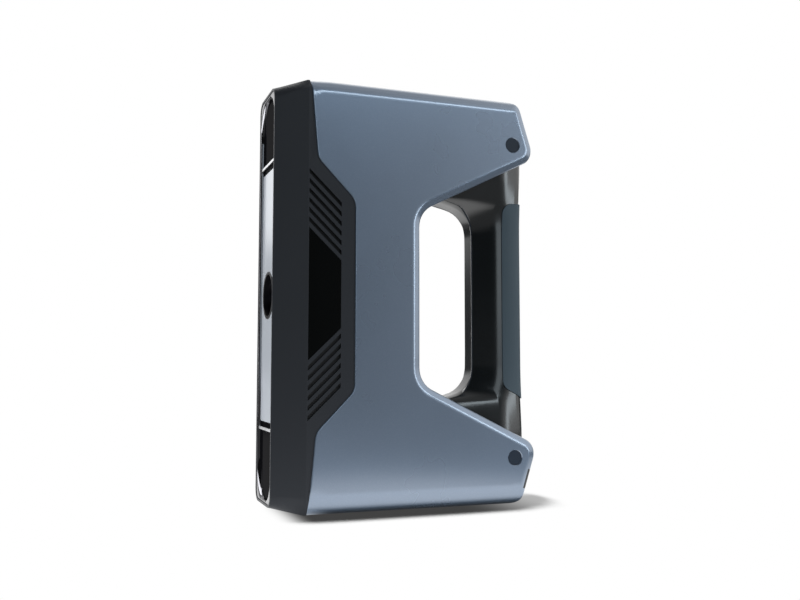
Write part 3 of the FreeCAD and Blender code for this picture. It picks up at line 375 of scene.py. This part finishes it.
def carve(piece, tool, how):
    modifier = piece.modifiers.new("carve", "BOOLEAN")
    modifier.operation = how
    modifier.solver = "EXACT"
    modifier.object = tool
    freeze(piece)
    bpy.data.objects.remove(tool)
    return piece


def freeze(piece):
    """Turns a piece's modifiers into its own mesh."""
    graph = bpy.context.evaluated_depsgraph_get()
    shape = bpy.data.meshes.new_from_object(piece.evaluated_get(graph))
    piece.modifiers.clear()
    piece.data = shape
    return piece


def rounded_ring(corners, steps):
    """Points round a closed outline whose corners (x, y, radius) are arcs of equal step count."""
    points = []
    count = len(corners)
    for i in range(count):
        here = Vector(corners[i][:2])
        back = (Vector(corners[i - 1][:2]) - here).normalized()
        ahead = (Vector(corners[(i + 1) % count][:2]) - here).normalized()
        half = math.acos(max(-1.0, min(1.0, back.dot(ahead)))) / 2
        radius = corners[i][2]
        centre = here + (back + ahead).normalized() * (radius / math.sin(half))
        start = here + back * (radius / math.tan(half)) - centre
        end = here + ahead * (radius / math.tan(half)) - centre
        turn = start.angle_signed(end)
        for step in range(steps + 1):
            spun = Matrix.Rotation(-turn * step / steps, 2)
            points.append(centre + spun @ start)
    return points


# Handle and grip: a flared column whose cross section changes smoothly with height

FLARE = (
    # drop from the end, front reach, front half width, greatest half width, back half width
    (20.0, 2.0, 19.0, 27.0, 21.8),
    (50.0, 8.0, 18.0, 26.6, 21.5),
    (60.0, 10.0, 16.8, 25.6, 21.2),
    (68.0, 14.0, 15.2, 24.3, 20.9),
    (74.0, 20.0, 13.6, 23.3, 20.65),
    (78.0, 28.5, 12.2, 22.7, 20.45),
    (80.5, 38.0, 11.0, 22.4, 20.35),
    (82.5, 45.5, 10.0, 22.15, 20.25),
    (86.0, 51.6, 8.8, 21.75, 20.1),
    (90.5, 55.8, 7.9, 21.3, 19.95),
    (96.0, 58.6, 7.1, 20.95, 19.8),
    (104.0, 59.7, 6.8, 20.7, 19.7),
    (120.0, 59.8, 6.75, 20.6, 19.7),
    (155.0, 59.8, 6.75, 20.6, 19.7),
)
SIDE_REACH = 79.0
SIDE_ROUND = 27.0
BACK_REACH = 97.5
BACK_ROUND = 8.5
CORNER_STEPS = 9
LEVELS = 150


def smooth_row(drop):
    """The flare's sizes at a drop, on a smooth curve through the rows."""
    drops = [row[0] for row in FLARE]
    drop = min(max(drop, drops[0]), drops[-1])
    low = max(i for i in range(len(FLARE) - 1) if drops[i] <= drop)
    span = drops[low + 1] - drops[low]
    t = (drop - drops[low]) / span
    return [hermite([row[column] for row in FLARE], drops, low, t, span) for column in range(1, 5)]


def hermite(heights, drops, low, t, span):
    start = span * slope_at(heights, drops, low)
    end = span * slope_at(heights, drops, low + 1)
    here, after = heights[low], heights[low + 1]
    return ((2 * t ** 3 - 3 * t ** 2 + 1) * here + (t ** 3 - 2 * t ** 2 + t) * start
            + (3 * t ** 2 - 2 * t ** 3) * after + (t ** 3 - t ** 2) * end)


def slope_at(heights, drops, i):
    """A slope that never overshoots the rows beside it."""
    if i == 0 or i == len(drops) - 1:
        return 0.0
    before = (heights[i] - heights[i - 1]) / (drops[i] - drops[i - 1])
    after = (heights[i + 1] - heights[i]) / (drops[i + 1] - drops[i])
    if before * after <= 0.0:
        return 0.0
    return 2.0 * before * after / (before + after)


def handle_ring(drop, grow):
    """The column's cross section (x, y) at a drop from its nearer end."""
    front, front_half, half, back_half = smooth_row(drop)
    front_round = min(2.2 + 0.3 * (FLARE[-1][1] - front), 8.0)
    right = [
        (front_half + grow * 0.6, front - grow, front_round),
        (half + grow, SIDE_REACH, SIDE_ROUND),
        (back_half + grow, BACK_REACH + grow, BACK_ROUND),
    ]
    left = [(-x, y, r) for x, y, r in reversed(right)]
    return rounded_ring(right + left, CORNER_STEPS)


def handle_form(name, grow):
    """The whole column from arm to arm."""
    first = FLARE[0][0]
    rings = []
    for level in range(LEVELS + 1):
        height = first + (TOP - 2 * first) * level / LEVELS
        ring = handle_ring(min(height, TOP - height), grow)
        rings.append([(p.x, p.y, height) for p in ring])
    return skinned(name, rings)


def grip_outline(gap):
    """The soft grip's edge seen from the side, with round corners."""
    front, top, foot, foot_behind = 79.8 + gap, TOP - 79.5 - gap, 87.5 + gap, 75.5 + gap
    behind = 104.0
    corners = [(front, top, 8.0), (front, foot, 8.0), (behind, foot_behind, 0.01),
               (behind, top + 1.5, 0.01)]
    return rounded_ring(corners, 8)


def between_arms():
    """The space between the two arms, reaching a little into their walls."""
    into = 1.2
    low = [(COVER_OPENING[0] - 8.0, COVER_OPENING[1] + 4.0 - into),
           (COVER_TIP[0] + 4.0, COVER_TIP[1] - 2.0 - into)]
    high = [(y, TOP - z) for y, z in reversed(low)]
    return side_prism("between_arms", low + high, 40.0)


def smooth_handle():
    shell = carve(handle_form("handle_column", 0.0), between_arms(), "INTERSECT")
    carve(shell, side_prism("grip_seat", grip_outline(0.0), 40.0), "DIFFERENCE")
    grip = carve(handle_form("grip_column", 0.7), side_prism("grip_area", grip_outline(0.25), 40.0),
                 "INTERSECT")
    finish_piece(shell, "handle_shell", 0.35, 32.0)
    finish_piece(grip, "grip_pad", 0.5, 32.0)


# Side covers: a tray whose outer face falls softly away towards its rim, top and foot

COVER_REAR = (90.665, 11.0)
COVER_TIP = (104.6, 43.4, 12.0)
COVER_OPENING = (7.8, 91.35, 18.0)
SEAM = ((-76.4, 0.0, 0.05), (-71.1, 57.4, 13.0), (-42.9, 86.4, 13.0))
COVER_FACE = 31.0
COVER_SHARP = 38.0
COVER_WALL = 2.2
COVER_SIDE_WALL = 2.8
COVER_INSETS = (0.0, 0.08, 0.25, 0.5, 0.8, 1.4, 2.2, 3.0, 3.6, 4.1, 4.6, 5.1, 5.6, 6.2, 7.0, 8.0,
                9.2, 10.6, 11.6, 12.4, 13.2, 14.0, 15.0, 16.0)
ARC_STEPS = 8
STRAIGHT_STEPS = 15
PLUG_PLACE = 84.45
PLUG_HEIGHT = 34.75
PLUG_PROFILE = ((25.8, 5.7), (30.5, 5.7), (31.3, 6.5))
PLUG_STEPS = 64
# Openings for the rear panels: drop along the slope, half length, half width, in the upper arm
SOCKET_SEAT = (18.0, 7.45, 30.05, False)
KEY_SEAT = (17.9, 10.65, 19.05, True)


def inset_corners(corners, inset):
    """The corners of the same outline moved inwards, with their roundings changed to suit."""
    moved = []
    for i, (y, z, r) in enumerate(corners):
        here = Vector((y, z))
        before = (here - Vector(corners[i - 1][:2])).normalized()
        after = (Vector(corners[(i + 1) % len(corners)][:2]) - here).normalized()
        inward = Vector((-before.y - after.y, before.x + after.x)) / (1.0 + before.dot(after))
        place = here + inward * inset
        turned_in = before.x * after.y - before.y * after.x > 0.0
        moved.append((place.x, place.y, max(r - inset, 0.05) if turned_in else r + inset))
    return moved


def cover_ring(corners, inset):
    """Points round the inset outline: every arc, then evenly named places along each straight."""
    arcs = rounded_ring(inset_corners(corners, inset), ARC_STEPS)
    count = len(corners)
    points = []
    for i in range(count):
        arc = arcs[i * (ARC_STEPS + 1):(i + 1) * (ARC_STEPS + 1)]
        start, end = arc[-1], arcs[(i + 1) % count * (ARC_STEPS + 1)]
        points += arc
        for step in range(1, STRAIGHT_STEPS + 1):
            share = 0.5 - 0.5 * math.cos(math.pi * step / (STRAIGHT_STEPS + 1))
            points.append(start.lerp(end, share))
    return points


def soft_min(a, b, reach):
    """The smaller of two heights, blended where they nearly meet."""
    overlap = max(reach - abs(a - b), 0.0) / reach
    return min(a, b) - overlap * overlap * reach / 4.0


def distance_to(path, place):
    """Distance from a place to an open line of points."""
    best = 1e9
    for start, end in zip(path, path[1:]):
        along = end - start
        share = max(0.0, min(1.0, (place - start).dot(along) / max(along.length_squared, 1e-12)))
        best = min(best, (start + along * share - place).length_squared)
    return math.sqrt(best)


def cover_face(place, rim, seam):
    """How far out the cover's skin lies at a place of its side view."""
    from_rim = distance_to(rim, place)
    from_seam = distance_to(seam, place)
    drop = max(TOP - place.y, 0.0)
    rise = max(place.y, 0.0)
    flat = COVER_FACE - 0.5 * max(1.0 - from_seam / 0.8, 0.0) ** 2
    chamfer = 28.5 + from_rim * 0.5 - 0.9 * max(1.0 - from_rim / 1.0, 0.0) ** 2
    top = 26.0 + drop * 5.0 / 7.0 - 2.2 * max(1.0 - drop / 3.0, 0.0) ** 2
    foot = 26.5 + rise * 4.5 / 13.0 - 2.4 * max(1.0 - rise / 3.0, 0.0) ** 2
    return soft_min(soft_min(soft_min(flat, chamfer, 0.75), top, 1.5), foot, 0.6)


def crowned(place):
    """The place with the top lifted a little behind the seam."""
    lift = max(0.0, min(1.0, (place.y - 285.0) / 25.0)) ** 2
    lift *= max(0.0, min(1.0, (place.x + 76.4) / 16.0))
    return place.x, place.y + 1.0 * lift


def cover_rows(corners, insets, thinner):
    """Rings of (x, y, z) places on a skin that lies under the cover's face."""
    seam = seam_line(corners)
    rim = rounded_ring(corners, ARC_STEPS)[:-len(seam)]
    rows = []
    for inset in insets:
        ring = cover_ring(corners, inset)
        rows.append([(cover_face(p, rim, seam) - thinner, *crowned(p)) for p in ring])
    return rows


def level_row(corners, inset, across):
    return [(across, *crowned(p)) for p in cover_ring(corners, inset)]


def mirrored(rows):
    return [[(-p[0], p[1], p[2]) for p in ring] for ring in rows]


def rear_seat(drop, half_length, half_width, above):
    """A tool for the opening that a panel fills on the rear slope of an arm."""
    tip = Vector((COVER_TIP[0], COVER_TIP[1]))
    foot = Vector((COVER_REAR[0], 0.0))
    along = (tip - foot).normalized()
    outward = Vector((along.y, -along.x))
    middle = foot + along * (drop / along.y)
    outline = [middle + along * a + outward * b for a, b in (
        (-half_length, -3.0), (-half_length, 5.0), (half_length, 5.0), (half_length, -3.0))]
    if above:
        outline = [Vector((p.x, TOP - p.y)) for p in reversed(outline)]
    return side_prism("rear_seat", outline, half_width)


def plug_seat(height, side):
    """A tool for the hole, with a small countersink, that takes a plug."""
    turns = [2 * math.pi * i / PLUG_STEPS for i in range(PLUG_STEPS)]
    return skinned("plug_seat", [
        [(side * across, PLUG_PLACE + radius * math.cos(t), height + radius * math.sin(t))
         for t in turns] for across, radius in PLUG_PROFILE])


def cover_outline():
    """Corners (y, z, rounding) of a cover's side view: rim from the rear foot, then the seam."""
    corners = [(COVER_REAR[0], 0.0, COVER_REAR[1]), COVER_TIP, COVER_OPENING]
    corners += [(y, TOP - drop, r) for y, drop, r in reversed(corners)]
    return corners + [(y, TOP - drop, r) for y, drop, r in SEAM] + list(reversed(SEAM))


def seam_line(corners):
    """The front edge of a cover as a line of places."""
    return rounded_ring(corners, ARC_STEPS)[(ARC_STEPS + 1) * (len(corners) - 2 * len(SEAM)):]


def smooth_covers():
    """Both side covers, and the socket panel trimmed to their outside."""
    corners = cover_outline()
    outside = cover_rows(corners, COVER_INSETS, 0.0)
    edge = [level_row(corners, 0.4, 0.02), level_row(corners, 0.1, 0.12),
            level_row(corners, 0.0, 0.4)]
    hollow_insets = [COVER_WALL + inset for inset in COVER_INSETS[::2]]
    inside = [level_row(corners, COVER_WALL, -1.0)]
    inside += cover_rows(corners, hollow_insets, COVER_SIDE_WALL)
    for node, side in (("side_cover_right", 1), ("side_cover_left", -1)):
        shape = edge + outside
        hollow = inside
        if side < 0:
            shape, hollow = mirrored(shape), mirrored(hollow)
        cover = skinned(node + "_form", shape)
        carve(cover, skinned("cover_hollow", hollow), "DIFFERENCE")
        for height in (PLUG_HEIGHT, TOP - PLUG_HEIGHT):
            carve(cover, plug_seat(height, side), "DIFFERENCE")
        for seat in (SOCKET_SEAT, KEY_SEAT):
            carve(cover, rear_seat(*seat), "DIFFERENCE")
        finish_piece(cover, node, 0.0, COVER_SHARP)
    hull = skinned("cover_hull", list(reversed(mirrored(outside))) + outside)
    panel = linked("socket_panel_form", merged_copy("socket_panel"))
    carve(panel, hull, "INTERSECT")
    finish_piece(panel, "socket_panel", 0.25, 32.0)


# Front housing and its bezel

HOUSING_CREASE = -78.0
SEAM_GAP = 0.9
SEAM_WIDER = 0.6


def crisp_housing():
    """The housing with a wider shadow gap at the seam and its long creases kept sharp."""
    mesh = merged_copy("front_housing")
    seam = seam_line(cover_outline())
    crease = []
    for vert in mesh.vertices:
        x, y, z = vert.co / MM
        if abs(x) > 20.0 and distance_to(seam, Vector((y + SEAM_GAP, z))) < 0.06:
            vert.co.y -= SEAM_WIDER * MM
        crease.append(abs(y - HOUSING_CREASE) < 0.05)
    housing = linked("front_housing_form", mesh)
    finish_piece(housing, "front_housing", 0.5, 20.0)
    for edge in mesh.edges:
        if all(crease[i] for i in edge.vertices):
            edge.use_edge_sharp = True
    keep_flats_even(housing)


BEZEL_FRONT = -101.7
BEZEL_BACK = -99.62
BEZEL_STEPS = 20


def bezel_ring(half, low, high, across, along):
    """Points (x, z) round an upright outline with elliptical corners."""
    points = []
    for side, end in ((1, 1), (-1, 1), (-1, -1), (1, -1)):
        turns = [math.pi / 2 * i / BEZEL_STEPS for i in range(BEZEL_STEPS + 1)]
        if side * end < 0:
            turns.reverse()
        middle = (high - along) if end > 0 else (low + along)
        points += [(side * (half - across + across * math.cos(t)),
                    middle + end * along * math.sin(t)) for t in turns]
    return points


def soft_bezel():
    """A polished frame whose inner slope widens towards its corners."""
    outer = bezel_ring(24.2, 7.25, 301.15, 7.2, 7.2)
    lip = bezel_ring(23.75, 7.7, 300.7, 6.8, 6.8)
    inner = bezel_ring(22.75, 8.9, 299.5, 20.0, 30.0)
    rings = [[(x, BEZEL_BACK, z) for x, z in outer],
             [(x, BEZEL_FRONT + 0.12, z) for x, z in outer],
             [(x, BEZEL_FRONT, z) for x, z in lip]]
    for share in (0.1, 0.25, 0.4, 0.55, 0.66, 0.76, 0.84, 0.9, 0.95, 1.0):
        fall = share ** 5
        depth = BEZEL_FRONT + 0.05 + (BEZEL_BACK - BEZEL_FRONT - 0.05) * fall
        rings.append([(a[0] + (b[0] - a[0]) * share, depth, a[1] + (b[1] - a[1]) * share)
                      for a, b in zip(lip, inner)])
    finish_piece(skinned("front_bezel_form", rings, closed=True), "front_bezel", 0.0, 30.0)


FORMED = ("front_bezel", "front_housing", "grip_pad", "handle_shell", "side_cover_left",
          "side_cover_right", "socket_panel")
smooth_handle()
smooth_covers()
crisp_housing()
soft_bezel()
for node in sorted(set(solids) - set(FORMED)):
    edge, segments = (0.2, 3) if node == "button_panel" else (0.12, 2)
    finish_piece(linked(node + "_skin", merged_copy(node)), node, edge, 20.0, segments)


# Floor, lamps and camera

class Number:
    """A value in a shader tree that takes ordinary arithmetic."""

    def __init__(self, tree, socket):
        self.tree = tree
        self.socket = socket

    def into(self, how, *others):
        node = self.tree.nodes.new("ShaderNodeMath")
        node.operation = how
        for place, value in enumerate((self, *others)):
            self.tree.links.new(value.socket, node.inputs[place])
        return Number(self.tree, node.outputs["Value"])

    def __mul__(self, other):
        return self.into("MULTIPLY", other)

    def faded(self, start, end, low=0.0, high=1.0):
        """A smooth change from low to high while this value runs from start to end."""
        fade = self.tree.nodes.new("ShaderNodeMapRange")
        fade.interpolation_type = "SMOOTHSTEP"
        fade.inputs["From Min"].default_value = start
        fade.inputs["From Max"].default_value = end
        fade.inputs["To Min"].default_value = low
        fade.inputs["To Max"].default_value = high
        self.tree.links.new(self.socket, fade.inputs["Value"])
        return Number(self.tree, fade.outputs["Result"])


def seen_directly(tree):
    """One for rays from the camera or through glass."""
    rays = tree.nodes.new("ShaderNodeLightPath")
    through_glass = Number(tree, rays.outputs["Is Transmission Ray"])
    return Number(tree, rays.outputs["Is Camera Ray"]).into("MAXIMUM", through_glass)


def floor_as_seen(tree, across, along):
    """The floor's brightness for the camera: a soft shadow close to the foot, on the right."""
    nearness = tree.nodes.new("ShaderNodeAmbientOcclusion")
    nearness.samples = 16
    nearness.inputs["Distance"].default_value = 0.04
    shadow = Number(tree, nearness.outputs["AO"]).faded(0.80, 0.97, 1.0, 0.0)
    shadow = shadow * across.faded(-0.045, 0.0)
    shadow = shadow * along.faded(-0.105, -0.072)
    shadow = shadow * along.faded(0.115, 0.03, 0.55, 1.0)
    return shadow.faded(0.0, 1.0, 1.0, 0.055)


def floor_as_mirrored(tree, place, across, along):
    """The floor's brightness for the scanner: a painted shadow under its foot, and a painted pool of
    light that dims with distance.
    """
    length = tree.nodes.new("ShaderNodeVectorMath")
    length.operation = "LENGTH"
    tree.links.new(place, length.inputs[0])
    reach = Number(tree, length.outputs["Value"])
    # Mask of the scanner's footprint, inside which the painted shadow darkens the floor.
    beside = across.into("ABSOLUTE").faded(0.029, 0.036)
    before = along.faded(-0.05, -0.10)
    behind = along.faded(0.090, 0.110)
    outside = beside.into("MAXIMUM", before).into("MAXIMUM", behind)
    # Painted light on the floor: bright close round the scanner, dimming with distance, and reaching
    # farther on its left.
    far_left = reach.faded(0.60, 1.00, 1.2, 0.1) * across.faded(0.05, -0.15)
    lit = reach.faded(0.12, 0.32, 1.3, 0.2).into("MAXIMUM", far_left)
    return lit * outside.faded(0.0, 1.0, 0.04, 1.0)


def floor_white():
    """A bright floor with its own brightness for the camera and for what mirrors it."""
    material = bpy.data.materials.new("floor_white")
    material.use_nodes = True
    tree = material.node_tree
    tree.nodes.clear()
    place = tree.nodes.new("ShaderNodeTexCoord").outputs["Object"]
    split = tree.nodes.new("ShaderNodeSeparateXYZ")
    tree.links.new(place, split.inputs["Vector"])
    across = Number(tree, split.outputs["X"])
    along = Number(tree, split.outputs["Y"])
    choose = tree.nodes.new("ShaderNodeMix")
    tree.links.new(seen_directly(tree).socket, choose.inputs["Factor"])
    tree.links.new(floor_as_mirrored(tree, place, across, along).socket, choose.inputs["A"])
    tree.links.new(floor_as_seen(tree, across, along).socket, choose.inputs["B"])
    glow = tree.nodes.new("ShaderNodeEmission")
    out = tree.nodes.new("ShaderNodeOutputMaterial")
    tree.links.new(choose.outputs["Result"], glow.inputs["Strength"])
    tree.links.new(glow.outputs["Emission"], out.inputs["Surface"])
    return material


def make_floor():
    half = 6.0
    mesh = bpy.data.meshes.new("floor")
    corners = [(-half, -half, 0.0), (half, -half, 0.0), (half, half, 0.0), (-half, half, 0.0)]
    mesh.from_pydata(corners, [], [(0, 1, 2, 3)])
    mesh.materials.append(floor_white())
    floor = linked("floor", mesh)
    floor.location.z = -0.0002


def make_world():
    """A white studio that grows dim towards the side the photographer stands on."""
    dim, bright = 0.03, 1.1
    bright_side = (-0.6, 0.8, 0.0)
    world = bpy.data.worlds.new("studio")
    bpy.context.scene.world = world
    world.use_nodes = True
    tree = world.node_tree
    place = tree.nodes.new("ShaderNodeTexCoord").outputs["Generated"]
    toward = tree.nodes.new("ShaderNodeVectorMath")
    toward.operation = "DOT_PRODUCT"
    toward.inputs[1].default_value = bright_side
    tree.links.new(place, toward.inputs[0])
    sides = Number(tree, toward.outputs["Value"]).faded(-0.52, 0.30, dim, bright)
    split = tree.nodes.new("ShaderNodeSeparateXYZ")
    tree.links.new(place, split.inputs["Vector"])
    across = Number(tree, split.outputs["X"])
    up = Number(tree, split.outputs["Z"])
    dark_horizon = up.faded(0.11, 0.16, 0.06, 1.0).into("MAXIMUM", across.faded(-0.2, 0.2))
    studio = sides * (dark_horizon * up.faded(0.75, 0.95, 1.0, 0.55))
    choose = tree.nodes.new("ShaderNodeMix")
    choose.inputs["B"].default_value = 1.0
    tree.links.new(seen_directly(tree).socket, choose.inputs["Factor"])
    tree.links.new(studio.socket, choose.inputs["A"])
    background = tree.nodes["Background"]
    background.inputs["Color"].default_value = (1.0, 1.0, 1.0, 1.0)
    tree.links.new(choose.outputs["Result"], background.inputs["Strength"])


TARGET = (0.0, 0.0, TOP * MM / 2)
COOL = (0.82, 0.93, 1.0)
WHITE = (1.0, 1.0, 1.0)


def softbox(name, place, width, height, power, color):
    lamp = bpy.data.lights.new(name, "AREA")
    lamp.color = color
    lamp.shape = "RECTANGLE"
    lamp.size = width
    lamp.size_y = height
    lamp.energy = power
    holder = bpy.data.objects.new(name, lamp)
    bpy.context.scene.collection.objects.link(holder)
    holder.location = place
    holder.rotation_euler = (Vector(TARGET) - Vector(place)).to_track_quat("-Z", "Y").to_euler()


def make_camera():
    place = Vector((0.6297, -0.2293, 0.1041))
    direction = Vector((-0.9357, 0.3447, 0.0749))
    roll = 0.0012
    lens = 39.42
    data = bpy.data.cameras.new("camera")
    data.sensor_width = 36.0
    data.lens = lens
    data.clip_start = 0.01
    data.clip_end = 50.0
    camera = bpy.data.objects.new("camera", data)
    bpy.context.scene.collection.objects.link(camera)
    turn = direction.to_track_quat("-Z", "Y").to_matrix() @ Matrix.Rotation(roll, 3, "Z")
    camera.matrix_world = Matrix.Translation(place) @ turn.to_4x4()
    bpy.context.scene.camera = camera


make_floor()
make_world()
softbox("strip_rear", (1.05, 1.05, 0.35), 0.25, 0.9, 2.4, COOL)
softbox("strip_high", (1.2, 0.45, 0.95), 0.9, 0.22, 2.4, COOL)
softbox("softbox_overhead", (-0.5, -0.33, 1.25), 0.5, 0.5, 2.5, WHITE)
softbox("softbox_front", (-0.7, -1.2, 0.4), 0.7, 1.0, 15.0, WHITE)
softbox("softbox_side", (1.45, -0.22, 0.6), 0.5, 1.1, 2.2, COOL)
make_camera()

bpy.context.scene.view_settings.view_transform = "Standard"
